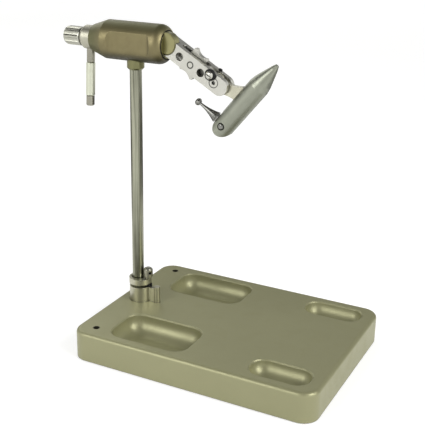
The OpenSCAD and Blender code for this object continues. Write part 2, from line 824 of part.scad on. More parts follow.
module arm_bar() {
    half = arm_w / 2;
    color([0.88, 0.87, 0.83]) difference() {
        at_arm() {
            block(-knuckle_d, tine_reach, -half, half, -tine_r, tine_r);
            translate([tine_reach, 0, 0]) rod_y(tine_r, -half, half);
        }
        at_head() {
            block(-knuckle_d, hub_face, -arm_w, arm_w, -knuckle_d, 2 * knuckle_d);
            translate([knuckle_x, 0, knuckle_lift]) rod_y(knuckle_r + knuckle_gap, -arm_w, 0);
            translate([arm_bolt_x, 0, arm_bolt_z]) {
                rod_y(arm_bolt_d / 2, -over, arm_w);
                rod_y(arm_bolt_head_d / 2, half - arm_bolt_head_h, arm_w);
            }
        }
        at_arm() {
            translate([slot_start, 0, 0]) rod_z(slot_w / 2, -arm_h, arm_h);
            block(slot_start, tine_reach + arm_h, -slot_w / 2, slot_w / 2, -arm_h, arm_h);
            for (s = [cross_hole_a, cross_hole_b]) translate([s, 0, 0]) rod_y(cross_hole_d / 2, -arm_w, arm_w);
            translate([wheel_s, 0, 0]) rod_y(wheel_pin_d / 2, -arm_w, arm_w);
            translate([clip_s, 0, clip_n]) rod_y(clip_shank_d / 2, -arm_w, 0);
            translate([pivot_s, 0, 0]) {
                rod_y(pivot_d / 2, -arm_w, arm_w);
                rod_y(pivot_head_d / 2 + pivot_play, -arm_w, pivot_head_sink - half);
            }
            translate([lock_screw_s, (half + slot_w / 2) / 2, 0]) rod_z(lock_screw_d / 2, tine_r - lock_screw_l, arm_h);
        }
    }
}

module arm_bolt() {
    half = arm_w / 2;
    color([0.5, 0.5, 0.48]) at_head() translate([arm_bolt_x, 0, arm_bolt_z]) difference() {
        union() {
            rod_y(arm_bolt_d / 2, -arm_bolt_bite, half - arm_bolt_head_h);
            rod_y(arm_bolt_head_d / 2, half - arm_bolt_head_h, half);
        }
        translate([0, half - pivot_hex_depth, 0]) rotate([-90, 0, 0])
            cylinder(d = pivot_hex_d, h = pivot_hex_depth + over, $fn = 6);
    }
}

module wheel_pin() {
    half = arm_w / 2;
    color([0.8, 0.8, 0.78]) at_arm() translate([wheel_s, 0, 0]) rod_y(wheel_pin_d / 2, -half, half);
}

module thumb_wheel() {
    r = wheel_d / 2;
    half = wheel_t / 2;
    chord_half = sqrt(2 * notch_r * notch_depth - notch_depth * notch_depth);
    notch_at = sqrt(r * r - chord_half * chord_half) + notch_r - notch_depth;
    color([0.78, 0.78, 0.74]) at_arm() translate([wheel_s, 0, 0]) difference() {
        rod_y(r, -half, half);
        rod_y(wheel_pin_d / 2 + wheel_play, -arm_w, arm_w);
        for (i = [0:wheel_lobes - 1])
            rotate([0, arm_angle * -1 - wheel_turn - i * 360 / wheel_lobes, 0])
                translate([notch_at, 0, 0]) rod_y(notch_r, -arm_w, arm_w);
    }
}

module clip_post() {
    face = -arm_w / 2;
    head_in = face - clip_ring_t;
    color([0.75, 0.75, 0.72]) at_arm() translate([clip_s, 0, clip_n]) difference() {
        union() {
            rod_y(clip_shank_d / 2, head_in, -slot_w / 2);
            translate([0, head_in, 0]) rotate([90, 0, 0]) rotate_extrude()
                polygon([for (p = clip_head_shares) [p[0] * clip_head_d, p[1] * clip_head_h]]);
        }
        translate([-clip_head_d, head_in - clip_head_h - over, -clip_slot_w / 2])
            cube([2 * clip_head_d, clip_slot_h + over, clip_slot_w]);
    }
}

module clip_ring() {
    tube_r = clip_ring_bulge * clip_ring_t / 2;
    color([0.03, 0.03, 0.03]) at_arm() translate([clip_s, -(arm_w + clip_ring_t) / 2, clip_n]) rotate([90, 0, 0])
        rotate_extrude() intersection() {
            translate([clip_ring_d / 2 - tube_r, 0]) circle(tube_r);
            translate([0, -clip_ring_t / 2]) square([clip_ring_d, clip_ring_t]);
        }
}

module pivot_screw() {
    half = arm_w / 2;
    face = pivot_head_sink - half;
    color([0.85, 0.85, 0.82]) at_arm() translate([pivot_s, 0, 0]) difference() {
        union() {
            rod_y(pivot_d / 2, face, half + pivot_nut_t);
            rod_y(pivot_head_d / 2, face - pivot_head_h, face);
        }
        translate([0, face - pivot_head_h + pivot_hex_depth, 0]) rotate([90, 0, 0])
            cylinder(d = pivot_hex_d, h = pivot_hex_depth + over, $fn = 6);
    }
}

module pivot_nut() {
    half = arm_w / 2;
    color([0.7, 0.7, 0.68]) at_arm() translate([pivot_s, 0, 0]) difference() {
        translate([0, half, 0]) rotate([-90, 0, 0]) cylinder(d = pivot_nut_d, h = pivot_nut_t, $fn = 6);
        rod_y(pivot_d / 2, 0, arm_w);
    }
}

module pivot_lock_screw() {
    color([0.2, 0.2, 0.2]) at_arm() translate([lock_screw_s, (arm_w + slot_w) / 4, tine_r + lock_screw_proud])
        grub(lock_screw_d, lock_screw_l + lock_screw_proud);
}

// Nose profile: share of the nose length behind the tip, and share of the widening
function nose_radius(share) = nose_tip_d / 2 + share * (jaw_r - nose_tip_d / 2);

module jaw_form() {
    rear_r = jaw_r + jaw_rear_over;
    rear_z = rear_r - jaw_l;
    intersection() {
        rotate_extrude() polygon(concat(
            [[0, -jaw_l - over], [0, 0]],
            [for (p = nose_shares) [nose_radius(p[1]), -p[0] * nose_l]],
            [[jaw_r, -jaw_l - over]]));
        union() {
            block(-jaw_d, jaw_d, -jaw_d, jaw_d, rear_z, over);
            translate([0, 0, rear_z]) rod_y(rear_r, -jaw_d, jaw_d);
        }
    }
}

// Slot at the rear that the lever turns in
module lever_slot(y0, y1) {
    translate([-lever_pin_x, 0, -lever_pin_z])
        block(-jaw_d, lever_slot_floor, y0, y1, -jaw_l, lever_slot_reach);
}

module near_jaw() {
    inner = -jaw_gap / 2;
    color([0.56, 0.57, 0.5]) at_jaws() difference() {
        jaw_form();
        block(-jaw_d, jaw_d, inner, jaw_d, -jaw_l - over, over);
        lever_slot(-lever_slot_w / 2, jaw_d);
        translate([-lever_pin_x, 0, -lever_pin_z]) rod_y(lever_pin_d / 2, -jaw_d, 0);
        translate([0, 0, -fulcrum_z]) rod_y(fulcrum_screw_d / 2, -fulcrum_bite, 0);
        translate([0, 0, -spring_z]) rod_y(spring_d / 2, -spring_seat, 0);
        neck_root(tongue_play - slot_w / 2);
    }
}

module far_jaw() {
    inner = jaw_gap / 2;
    color([0.54, 0.55, 0.48]) at_jaws() difference() {
        jaw_form();
        block(-jaw_d, jaw_d, -jaw_d, inner, -jaw_l - over, over);
        block(-jaw_d, jaw_d, -jaw_d, jaw_relief - inner, -jaw_l - over, -fulcrum_z - fulcrum_screw_d / 2);
        lever_slot(-jaw_d, lever_slot_w / 2 + far_play);
        translate([-lever_pin_x, 0, -lever_pin_z]) rod_y(lever_pin_d / 2 + far_play, 0, jaw_d);
        translate([0, 0, -fulcrum_z]) {
            rod_y(fulcrum_screw_d / 2 + fulcrum_play, -over, jaw_d);
            rod_y(fulcrum_head_d / 2 + fulcrum_play, jaw_r - fulcrum_head_h - fulcrum_play, jaw_d);
        }
    }
}

module fulcrum_screw() {
    head_in = jaw_r - fulcrum_head_h;
    color([0.5, 0.5, 0.48]) at_jaws() translate([0, 0, -fulcrum_z]) difference() {
        union() {
            rod_y(fulcrum_screw_d / 2, -fulcrum_bite, head_in);
            rod_y(fulcrum_head_d / 2, head_in, jaw_r);
        }
        block(-fulcrum_head_d, fulcrum_head_d, jaw_r - clip_slot_h, jaw_d, -clip_slot_w / 2, clip_slot_w / 2);
    }
}

module jaw_spring() {
    color([0.4, 0.4, 0.4]) at_jaws() translate([0, 0, -spring_z]) difference() {
        rod_y(spring_d / 2, -spring_seat, spring_stand);
        rod_y(spring_hole_d / 2, -spring_seat - over, spring_stand + over);
    }
}

module lever_pin() {
    color([0.7, 0.7, 0.68]) at_jaws() translate([-lever_pin_x, lever_pin_shy - jaw_r, -lever_pin_z])
        rotate([90, 0, 0]) rotate_extrude() polygon(concat(
            [[0, lever_pin_shy + far_play - jaw_d], [lever_pin_d / 2, lever_pin_shy + far_play - jaw_d]],
            [for (p = dome_shares) [p[0] * lever_pin_d / 2, p[1] * lever_pin_dome_h]]));
}

module jaw_neck() {
    half = slot_w / 2 - tongue_play;
    color([0.86, 0.84, 0.76]) difference() {
        union() {
            at_jaws() {
                difference() {
                    plate_y([for (p = neck_shares) [-p[1] * jaw_offset, -p[0] * jaw_back]], -half, half);
                    rod_z(jaw_r, -jaw_l, 0);
                    intersection() {
                        rod_z(jaw_r + neck_split_gap, -jaw_l, 0);
                        block(-jaw_d, jaw_d, -jaw_gap, jaw_d, -jaw_l, 0);
                    }
                }
                neck_root(-half);
            }
            at_arm() translate([pivot_s, 0, 0]) rod_y(tongue_r, -half, half);
        }
        at_arm() translate([pivot_s, 0, 0]) rod_y(pivot_d / 2 + pivot_play, -arm_w, arm_w);
    }
}

// Root of the neck plate, let into the near jaw
module neck_root(y0) {
    block(-jaw_r - neck_root_h / 2, neck_root_h - jaw_r, y0, -jaw_gap / 2,
        -neck_root_shares[0] * jaw_back, -neck_root_shares[1] * jaw_back);
}

// Radius of the lever stalk, flaring towards its foot
function stalk_radius(u) = stalk_d / 2
    + (flare_d - stalk_d) / 2 * pow((lever_reach - u) / (lever_reach - flare_u), flare_power);

module cam_lever() {
    button_r = lever_button_d / 2;
    color([0.5, 0.51, 0.48]) at_lever() difference() {
        union() {
            rod_y(lever_hub_r, -lever_hub_w / 2, lever_hub_w / 2);
            block(-stalk_w / 2, stalk_w / 2, -lever_hub_w / 2, lever_hub_w / 2, 0, flare_u);
            rotate_extrude() polygon(concat(
                [[0, flare_u]],
                [for (i = [0:flare_steps]) let (u = flare_u + (lever_reach - flare_u) * i / flare_steps)
                    [stalk_radius(u), u]],
                [[0, lever_reach]]));
            translate([0, 0, lever_reach]) rotate_extrude()
                polygon([for (p = button_shares) [p[0] * button_r, p[1] * lever_button_t]]);
        }
        rod_y(lever_pin_d / 2 + lever_pin_play, -arm_w, arm_w);
    }
}

base_plate();
foot_pad();
stem_socket();
socket_bolt();
clamp_ring();
clamp_spring();
clamp_screw();
post();
head_housing();
post_collar();
collar_screw();
front_bush();
rear_bush();
front_seal();
bush_screw();
rotary_shaft();
front_hub();
crank_collar();
crank_set_screw();
drag_washer();
drag_knob();
crank_rod();
crank_sleeve();
crank_tip();
arm_bar();
arm_bolt();
wheel_pin();
thumb_wheel();
clip_post();
clip_ring();
pivot_screw();
pivot_nut();
pivot_lock_screw();
jaw_neck();
near_jaw();
far_jaw();
fulcrum_screw();
jaw_spring();
lever_pin();
cam_lever();
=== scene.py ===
"""Looks of the rotary fly tying vise: finishes, fine pieces, studio and camera.

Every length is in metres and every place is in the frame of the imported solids.
"""

import json
import logging
import math
from collections.abc import Callable, Sequence
from dataclasses import dataclass, field, replace
from enum import Enum

import bmesh
import bpy
from mathutils import Matrix, Vector


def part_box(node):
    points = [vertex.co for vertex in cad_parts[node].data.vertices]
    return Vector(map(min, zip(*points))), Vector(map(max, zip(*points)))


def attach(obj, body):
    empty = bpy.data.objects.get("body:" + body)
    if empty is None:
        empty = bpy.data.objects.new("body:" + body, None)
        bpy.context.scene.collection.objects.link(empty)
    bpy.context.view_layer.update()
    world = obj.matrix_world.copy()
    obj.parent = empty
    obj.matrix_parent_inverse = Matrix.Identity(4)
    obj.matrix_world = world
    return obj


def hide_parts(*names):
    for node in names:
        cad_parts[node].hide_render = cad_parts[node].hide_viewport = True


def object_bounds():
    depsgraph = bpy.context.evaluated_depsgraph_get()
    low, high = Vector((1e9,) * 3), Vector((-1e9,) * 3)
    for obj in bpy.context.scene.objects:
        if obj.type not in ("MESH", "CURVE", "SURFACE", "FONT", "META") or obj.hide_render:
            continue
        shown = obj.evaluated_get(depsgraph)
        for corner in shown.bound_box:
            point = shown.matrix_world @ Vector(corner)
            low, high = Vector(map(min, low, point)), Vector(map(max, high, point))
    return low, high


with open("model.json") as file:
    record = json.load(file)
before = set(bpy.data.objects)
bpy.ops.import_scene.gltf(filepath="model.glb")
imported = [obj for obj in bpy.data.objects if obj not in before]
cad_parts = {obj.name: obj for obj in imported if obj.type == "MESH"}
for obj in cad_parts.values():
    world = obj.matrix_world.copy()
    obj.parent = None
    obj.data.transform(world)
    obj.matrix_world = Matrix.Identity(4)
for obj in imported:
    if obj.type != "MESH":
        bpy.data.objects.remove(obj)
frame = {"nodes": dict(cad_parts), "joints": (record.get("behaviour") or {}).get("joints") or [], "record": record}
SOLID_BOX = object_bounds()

log = logging.getLogger("vise")

MM = 0.001
Colour = tuple[float, float, float]
Point = tuple[float, float, float]

# Shared effects: each pair is the value where a mask starts and the one where it is full.
STREAK_SQUEEZE = 0.02  # scale along the axis, which draws a streak out fifty times
PATCH_FADE = (0.3, 0.7)
SMUDGE_FADE = (0.42, 0.72)
EDGE_FADE = (0.995, 0.8)  # cosine between the flat and the rounded normal
EDGE_BREAKS = 420.0  # breaks in the lighter edge line, per metre
EDGE_KEPT = 0.75  # noise above which the lighter edge line is whole
PAINTED_SHADE_FADE = (0.85, 0.35)  # open share of the view out of a recess, where the painted shade comes in
SEAM_FADE = (0.7, 0.35)  # distance from the ring, in widths
SEAM_SHADE = 0.9  # how black the painted shade in a pin seam is


class Grain(Enum):
    """How a surface was worked, which sets its fine texture."""

    BLASTED = "blasted"
    TURNED = "turned"
    DRAWN = "drawn"
    MOULDED = "moulded"


@dataclass(frozen=True)
class Axis:
    """A line that a finish runs round or along."""

    point: Point
    direction: Point

    @classmethod
    def of_joint(cls, name: str) -> "Axis":
        """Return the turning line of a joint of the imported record.

        Args:
            name: Name of a hinge.

        Returns:
            The hinge's line.
        """
        row = next(joint for joint in frame["joints"] if joint["name"] == name)
        return cls(tuple(row["pos_m"]), tuple(row["axis"]))

    @classmethod
    def of_mount(cls, name: str) -> "Axis":
        """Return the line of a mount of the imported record.

        Args:
            name: Name of a mount.

        Returns:
            The mount's line.
        """
        row = next(mount for mount in frame["record"]["mounts"] if mount["name"] == name)
        return cls(tuple(row["pos_m"]), tuple(row["axis"]))


POST_AXIS = Axis.of_joint("head_swivel")
ROTARY_AXIS = Axis.of_joint("rotary")
SLEEVE_AXIS = Axis.of_joint("sleeve_spin")
WHEEL_AXIS = Axis.of_joint("wheel_turn")
TILT_AXIS = Axis.of_joint("jaw_tilt")
LEVER_PIN_AXIS = Axis.of_joint("lever_turn")
SCREW_AXIS = Axis.of_joint("clamp_screw_turn")
ARM_AXIS = Axis(TILT_AXIS.point, (0.866025, 0.0, -0.5))
JAW_AXIS = Axis((0.03185, 0.0, 0.23259), (0.63608, 0.0, 0.77162))
LEVER_AXIS = Axis(LEVER_PIN_AXIS.point, (-0.8413, 0.0, 0.5404))
BASE_AXIS = Axis((0.0, 0.0, 0.0), (0.0, 0.0, 1.0))


class NodeSheet:
    """Adds and wires shader nodes in one tree."""

    def __init__(self, tree: bpy.types.NodeTree) -> None:
        """Keep the tree that the nodes go into."""
        self.tree = tree

    def add(self, kind: str, inputs: dict | None = None, **settings: object) -> bpy.types.Node:
        """Add a node.

        Args:
            kind: Type of the node without its ShaderNode prefix.
            inputs: Values or source sockets by input name or index.
            **settings: Properties set on the node itself.

        Returns:
            The new node.
        """
        node = self.tree.nodes.new("ShaderNode" + kind)
        for name, value in settings.items():
            setattr(node, name, value)
        for name, value in (inputs or {}).items():
            if isinstance(value, bpy.types.NodeSocket):
                self.tree.links.new(value, node.inputs[name])
            else:
                node.inputs[name].default_value = value
        return node

    def maths(self, operation: str, *values: object) -> bpy.types.NodeSocket:
        """Add a Math node and return its result.

        Args:
            operation: Name of the operation.
            *values: Numbers or source sockets, in order.

        Returns:
            The result socket.
        """
        return self.add("Math", dict(enumerate(values)), operation=operation).outputs[0]

    def vector(self, operation: str, *values: object) -> bpy.types.Node:
        """Add a Vector Math node with its inputs in order and return it."""
        return self.add("VectorMath", dict(enumerate(values)), operation=operation)

    def mix(self, mask: object, low: object, high: object) -> bpy.types.NodeSocket:
        """Add a colour Mix node.

        Args:
            mask: Number or socket, 0 for low and 1 for high.
            low: Colour or socket.
            high: Colour or socket.

        Returns:
            The mixed colour.
        """
        node = self.add("Mix", {0: mask}, data_type="RGBA")
        for index, value in ((6, low), (7, high)):
            if isinstance(value, bpy.types.NodeSocket):
                self.tree.links.new(value, node.inputs[index])
            else:
                node.inputs[index].default_value = (*value, 1.0)
        return node.outputs[2]

    def ramp(
        self, value: object, low: float, high: float, to_low: float = 0.0, to_high: float = 1.0
    ) -> bpy.types.NodeSocket:
        """Map a value smoothly from one range to another.

        Args:
            value: Number or socket.
            low: Value that gives to_low.
            high: Value that gives to_high.
            to_low: Result at the low end.
            to_high: Result at the high end.

        Returns:
            The mapped value.
        """
        return self.add(
            "MapRange",
            {0: value, 1: low, 2: high, 3: to_low, 4: to_high},
            interpolation_type="SMOOTHSTEP",
        ).outputs[0]


@dataclass(frozen=True)
class Port:
    """An input or output of a shared effect."""

    name: str
    kind: str = "NodeSocketFloat"
    value: object = None


class Effect:
    """A shader node group that several finishes use."""

    def __init__(self, name: str, takes: Sequence[Port], gives: Sequence[Port], wire: Callable) -> None:
        """Build the group once.

        Args:
            name: Name of the group.
            takes: Its inputs.
            gives: Its outputs.
            wire: Called with a NodeSheet and the input sockets; returns the output sockets by name.
        """
        self.tree = bpy.data.node_groups.new(name, "ShaderNodeTree")
        for ports, side in ((takes, "INPUT"), (gives, "OUTPUT")):
            for port in ports:
                socket = self.tree.interface.new_socket(port.name, in_out=side, socket_type=port.kind)
                if port.value is not None:
                    socket.default_value = port.value
        sheet = NodeSheet(self.tree)
        start = self.tree.nodes.new("NodeGroupInput")
        end = self.tree.nodes.new("NodeGroupOutput")
        for port, socket in wire(sheet, start.outputs).items():
            self.tree.links.new(socket, end.inputs[port])

    def place(self, sheet: NodeSheet, **inputs: object) -> bpy.types.Node:
        """Place the group in a material.

        Args:
            sheet: The material's node sheet.
            **inputs: Values by input name, with _ for a space.

        Returns:
            The group node.
        """
        node = sheet.tree.nodes.new("ShaderNodeGroup")
        node.node_tree = self.tree
        for name, value in inputs.items():
            node.inputs[name.replace("_", " ")].default_value = value
        return node


def place_round(sheet: NodeSheet, given: Sequence) -> tuple[bpy.types.NodeSocket, ...]:
    """Split the place on a surface into its parts along and away from a line.

    Args:
        sheet: Sheet of the group.
        given: Point and Direction of the line.

    Returns:
        Height along the line, the vector along it, the vector away from it and that vector's length.
    """
    place = sheet.add("TexCoord").outputs["Object"]
    offset = sheet.vector("SUBTRACT", place, given["Point"]).outputs[0]
    height = sheet.vector("DOT_PRODUCT", offset, given["Direction"]).outputs["Value"]
    onto = sheet.vector("SCALE", given["Direction"])
    sheet.tree.links.new(height, onto.inputs["Scale"])
    outward = sheet.vector("SUBTRACT", offset, onto.outputs[0]).outputs[0]
    return height, onto.outputs[0], outward, sheet.vector("LENGTH", outward).outputs["Value"]


def wire_lathe(sheet: NodeSheet, given: Sequence) -> dict:
    """Wire rings round an axis and streaks along it.

    Args:
        sheet: Sheet of the group.
        given: Point, Direction and Pitch.

    Returns:
        Rings and Streaks.
    """
    height, onto, outward, radius = place_round(sheet, given)
    per_pitch = sheet.maths("DIVIDE", 1.0, given["Pitch"])
    lines = sheet.add("CombineXYZ", {0: height, 1: radius}).outputs[0]
    ring_place = sheet.vector("SCALE", lines)
    sheet.tree.links.new(per_pitch, ring_place.inputs["Scale"])
    rings = sheet.add("TexNoise", {"Vector": ring_place.outputs[0], "Scale": 1.0, "Detail": 2.0}).outputs[0]
    squeezed = sheet.vector("SCALE", onto)
    squeezed.inputs["Scale"].default_value = STREAK_SQUEEZE
    thin = sheet.vector("ADD", outward, squeezed.outputs[0]).outputs[0]
    thin_place = sheet.vector("SCALE", thin)
    sheet.tree.links.new(per_pitch, thin_place.inputs["Scale"])
    streaks = sheet.add("TexNoise", {"Vector": thin_place.outputs[0], "Scale": 1.0, "Detail": 2.0}).outputs[0]
    return {"Rings": rings, "Streaks": streaks}


def wire_speckle(sheet: NodeSheet, given: Sequence) -> dict:
    """Wire an even fine grain.

    Args:
        sheet: Sheet of the group.
        given: Pitch.

    Returns:
        Grain.
    """
    place = sheet.add("TexCoord").outputs["Object"]
    finer = sheet.vector("SCALE", place)
    sheet.tree.links.new(sheet.maths("DIVIDE", 1.0, given["Pitch"]), finer.inputs["Scale"])
    grain = sheet.add(
        "TexNoise", {"Vector": finer.outputs[0], "Scale": 1.0, "Detail": 3.0, "Roughness": 0.6}
    ).outputs[0]
    return {"Grain": grain}


def wire_patina(sheet: NodeSheet, given: Sequence) -> dict:
    """Wire soft uneven patches left by handling.

    Args:
        sheet: Sheet of the group.
        given: Size of a patch.

    Returns:
        Patches and Smudges.
    """
    place = sheet.add("TexCoord").outputs["Object"]
    spread = sheet.vector("SCALE", place)
    sheet.tree.links.new(sheet.maths("DIVIDE", 1.0, given["Size"]), spread.inputs["Scale"])
    broad = sheet.add("TexNoise", {"Vector": spread.outputs[0], "Scale": 1.0, "Detail": 2.0}).outputs[0]
    small = sheet.add(
        "TexNoise", {"Vector": spread.outputs[0], "Scale": 4.0, "Detail": 4.0, "Distortion": 0.6}
    ).outputs[0]
    return {
        "Patches": sheet.ramp(broad, *PATCH_FADE),
        "Smudges": sheet.ramp(small, *SMUDGE_FADE),
    }


def wire_edges(sheet: NodeSheet, given: Sequence) -> dict:
    """Wire the softly rounded edges of machined metal, lighter along a broken line: partly wear, partly a painted
    highlight.

    Args:
        sheet: Sheet of the group.
        given: Radius of the rounding and Break of the lighter line.

    Returns:
        Mask of the lighter edges and the rounded Normal.
    """
    rounded = sheet.add("Bevel", {"Radius": given["Radius"]}, samples=4).outputs[0]
    flat = sheet.add("NewGeometry").outputs["Normal"]
    together = sheet.vector("DOT_PRODUCT", rounded, flat).outputs["Value"]
    bend = sheet.ramp(together, *EDGE_FADE)
    place = sheet.add("TexCoord").outputs["Object"]
    broken = sheet.add("TexNoise", {"Vector": place, "Scale": EDGE_BREAKS, "Detail": 3.0}).outputs[0]
    kept = sheet.ramp(broken, given["Break"], EDGE_KEPT)
    return {"Mask": sheet.maths("MULTIPLY", bend, kept), "Normal": rounded}


def wire_painted_shade(sheet: NodeSheet, given: Sequence) -> dict:
    """Wire painted shade that darkens holes, slots, corners and gaps between parts, from ambient occlusion.

    Args:
        sheet: Sheet of the group.
        given: Reach of the painted shade out of a corner.

    Returns:
        Mask, 1 deep in a recess.
    """
    open_share = sheet.add("AmbientOcclusion", {"Distance": given["Reach"]}, samples=6).outputs["AO"]
    return {"Mask": sheet.ramp(open_share, *PAINTED_SHADE_FADE)}


def wire_seam(sheet: NodeSheet, given: Sequence) -> dict:
    """Wire a painted shade ring for the shadowed gap where a pin meets the metal round it.

    Args:
        sheet: Sheet of the group.
        given: Point and Direction of the pin, Radius and Width of the ring.

    Returns:
        Mask, 1 in the ring.
    """
    radius = place_round(sheet, given)[3]
    off = sheet.maths("ABSOLUTE", sheet.maths("SUBTRACT", radius, given["Radius"]))
    return {"Mask": sheet.ramp(sheet.maths("DIVIDE", off, given["Width"]), *SEAM_FADE)}


VECTOR = "NodeSocketVector"
EFFECTS = {
    "lathe": Effect(
        "lathe lines",
        (Port("Point", VECTOR), Port("Direction", VECTOR), Port("Pitch", value=0.3 * MM)),
        (Port("Rings"), Port("Streaks")),
        wire_lathe,
    ),
    "speckle": Effect("blast speckle", (Port("Pitch", value=0.3 * MM),), (Port("Grain"),), wire_speckle),
    "patina": Effect(
        "handling patina", (Port("Size", value=20 * MM),), (Port("Patches"), Port("Smudges")), wire_patina
    ),
    "edges": Effect(
        "rubbed edges",
        (Port("Radius", value=0.3 * MM), Port("Break", value=0.3)),
        (Port("Mask"), Port("Normal", VECTOR)),
        wire_edges,
    ),
    "seam": Effect(
        "pin seam",
        (
            Port("Point", VECTOR), Port("Direction", VECTOR),
            Port("Radius", value=2 * MM), Port("Width", value=0.5 * MM),
        ),
        (Port("Mask"),),
        wire_seam,
    ),
    "recess": Effect("recess dirt", (Port("Reach", value=2 * MM),), (Port("Mask"),), wire_painted_shade),
}


# Colour of the painted shade in recesses, gaps and pin seams.
PAINTED_SHADE_COLOUR: Colour = (0.012, 0.012, 0.01)


@dataclass(frozen=True)
class Seam:
    """The painted shade ring where a pin meets the metal round it, standing for its shadowed gap."""

    axis: Axis
    radius: float
    width: float = 0.6 * MM


@dataclass(frozen=True)
class Finish:
    """A worked and coated surface of the vise."""

    name: str
    colour: Colour
    shade: Colour
    # Lighter edge colour: partly wear, partly a painted highlight.
    edge_wear_highlight: Colour
    roughness: float
    spread: float = 0.06
    metallic: float = 1.0
    pitch: float = 0.25 * MM
    depth: float = 0.1
    streak: float = 0.25
    patch: float = 20 * MM
    soft_edge: float = 0.25 * MM
    edge_break: float = 0.25
    band: float = 0.5
    # Strength and reach of the painted shade in recesses and gaps.
    painted_shade_strength: float = 0.5
    painted_shade_reach: float = 1.5 * MM
    specular: float = 0.5

    def material(self, grain: Grain, axis: Axis, seams: Sequence[Seam] = ()) -> bpy.types.Material:
        """Make the material of this finish for one way of working.

        Args:
            grain: Texture left by the working.
            axis: Line that the texture follows.
            seams: Rings round the pins in it.

        Returns:
            The material.
        """
        material = bpy.data.materials.new(f"{self.name} {grain.value}")
        material.use_nodes = True
        sheet = NodeSheet(material.node_tree)
        sheet.tree.nodes.clear()
        patina = EFFECTS["patina"].place(sheet, Size=self.patch)
        edges = EFFECTS["edges"].place(sheet, Radius=self.soft_edge, Break=self.edge_break)
        texture = self.texture(sheet, grain, axis)
        lines = sheet.ramp(texture, 0.5 - self.band, 0.5 + self.band)
        drift = sheet.maths("MULTIPLY", lines, self.streak)
        patches = sheet.maths("MULTIPLY", patina.outputs["Patches"], (1.0 - self.streak) / 2)
        tone = sheet.maths("ADD", drift, patches)
        body = self.tint(sheet, sheet.mix(tone, self.colour, self.shade))
        # Painted shade: darker colour in recesses and gaps, from ambient occlusion, and in the seam rings round
        # pins and sockets.
        recess = EFFECTS["recess"].place(sheet, Reach=self.painted_shade_reach)
        painted_shade = sheet.maths("MULTIPLY", recess.outputs["Mask"], self.painted_shade_strength)
        for seam in seams:
            ring = EFFECTS["seam"].place(
                sheet, Point=seam.axis.point, Direction=seam.axis.direction,
                Radius=seam.radius, Width=seam.width,
            )
            seam_shade = sheet.maths("MULTIPLY", ring.outputs["Mask"], SEAM_SHADE)
            painted_shade = sheet.maths("MAXIMUM", painted_shade, seam_shade)
        # Edges take the lighter edge colour, partly a painted highlight; then the painted shade darkens the
        # colour.
        colour = sheet.mix(painted_shade, sheet.mix(edges.outputs["Mask"], body, self.edge_wear_highlight), PAINTED_SHADE_COLOUR)
        smear = sheet.maths("MULTIPLY", patina.outputs["Smudges"], self.spread)
        rough = sheet.maths("ADD", smear, self.roughness - self.spread / 3)
        bump = sheet.add("Bump", {
            "Height": texture,
            "Normal": edges.outputs["Normal"],
            "Strength": self.depth,
            "Distance": self.pitch,
        })
        shader = sheet.add("BsdfPrincipled", {
            "Base Color": colour,
            "Roughness": rough,
            "Normal": bump.outputs[0],
            "Metallic": self.metallic,
            "Specular IOR Level": self.specular,
        })
        sheet.add("OutputMaterial", {"Surface": shader.outputs[0]})
        return material

    def texture(self, sheet: NodeSheet, grain: Grain, axis: Axis) -> bpy.types.NodeSocket:
        """Return the fine texture of one way of working.

        Args:
            sheet: The material's sheet.
            grain: Way of working.
            axis: Line that lathe lines follow.

        Returns:
            A value round one half.
        """
        if grain in (Grain.BLASTED, Grain.MOULDED):
            return EFFECTS["speckle"].place(sheet, Pitch=self.pitch).outputs["Grain"]
        lathe = EFFECTS["lathe"].place(sheet, Point=axis.point, Direction=axis.direction, Pitch=self.pitch)
        return lathe.outputs["Rings" if grain is Grain.TURNED else "Streaks"]

    def tint(self, sheet: NodeSheet, colour: bpy.types.NodeSocket) -> bpy.types.NodeSocket:
        """Return the colour as it is, for a finish of one hue."""
        return colour


@dataclass(frozen=True)
class ShadedBandFinish(Finish):
    """An anodised bronze finish with painted shade: a darker olive on the top and at the rear, and a much darker
    underside.
    """

    crown_shade: Colour = (0.2, 0.2, 0.1)
    belly_shade: Colour = (0.1, 0.1, 0.05)
    middle: float = 0.0
    rear: float = 0.0
    crown_starts: float = 7.5 * MM
    crown_full: float = 14.25 * MM
    belly_starts: float = 4.5 * MM
    belly_full: float = 12.75 * MM
    rear_fade: float = 7 * MM

    def tint(self, sheet: NodeSheet, colour: bpy.types.NodeSocket) -> bpy.types.NodeSocket:
        """Paint shade: blend the darker top colour in above the middle height and at the rear, and the darker
        underside colour in below.

        Args:
            sheet: The material's sheet.
            colour: Colour of the flanks.

        Returns:
            The blended colour.
        """
        place = sheet.add("SeparateXYZ", {0: sheet.add("TexCoord").outputs["Object"]})
        above = sheet.maths("SUBTRACT", place.outputs["Z"], self.middle)
        upper = sheet.mix(sheet.ramp(above, self.crown_starts, self.crown_full), colour, self.crown_shade)
        rounded = sheet.mix(sheet.ramp(above, -self.belly_starts, -self.belly_full), upper, self.belly_shade)
        behind = sheet.ramp(place.outputs["X"], self.rear + self.rear_fade, self.rear - self.rear_fade)
        return sheet.mix(behind, rounded, self.crown_shade)


CHAMPAGNE = Finish(
    "champagne anodising", (0.31, 0.304, 0.171), (0.272, 0.266, 0.148), (0.66, 0.655, 0.52),
    roughness=0.41, metallic=0.48, pitch=0.5 * MM, depth=0.16, streak=0.4, patch=60 * MM,
    soft_edge=0.5 * MM, painted_shade_strength=0.95, painted_shade_reach=2 * MM,
)
